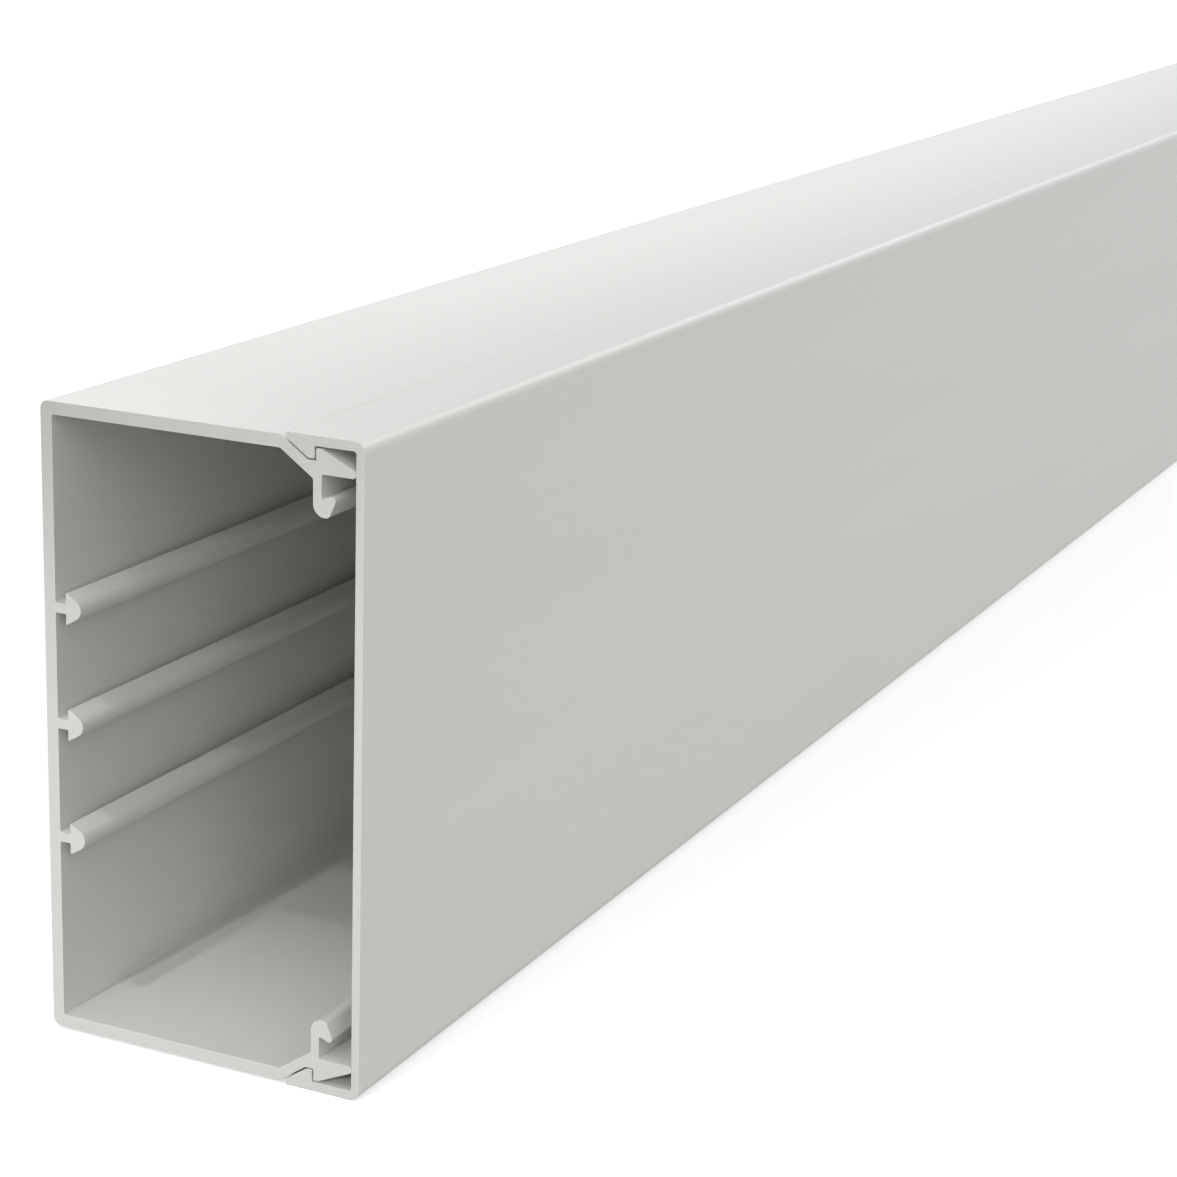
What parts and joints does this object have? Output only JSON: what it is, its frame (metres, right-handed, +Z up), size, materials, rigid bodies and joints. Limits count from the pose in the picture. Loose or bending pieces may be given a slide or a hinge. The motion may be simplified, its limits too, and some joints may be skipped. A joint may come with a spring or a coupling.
{
  "type": "cable trunking",
  "caption": "Straight length of rectangular wall trunking: an extruded base with mounting ribs inside and a flat cover that clips over its front edges.",
  "frame": {"origin": "under the middle of the trunking, at the height of the cover's lower side, which the floor meets", "axes": "+Y along the length, away from the end that the picture shows; +X from the wall face to the cover's front; +Z up, across the 110 mm width"},
  "size_m": [0.06, 2, 0.11],
  "materials": {
    "light_grey_pvc": "satin extruded rigid PVC, light grey"
  },
  "bodies": {
    "base": {"trunking_base": "light_grey_pvc"},
    "cover": {"trunking_cover": "light_grey_pvc"}
  },
  "joints": [
    {"name": "cover_slide", "type": "slide", "parent": "base", "child": "cover", "axis": [0, 1, 0], "range_m": [-2, 2]}
  ]
}
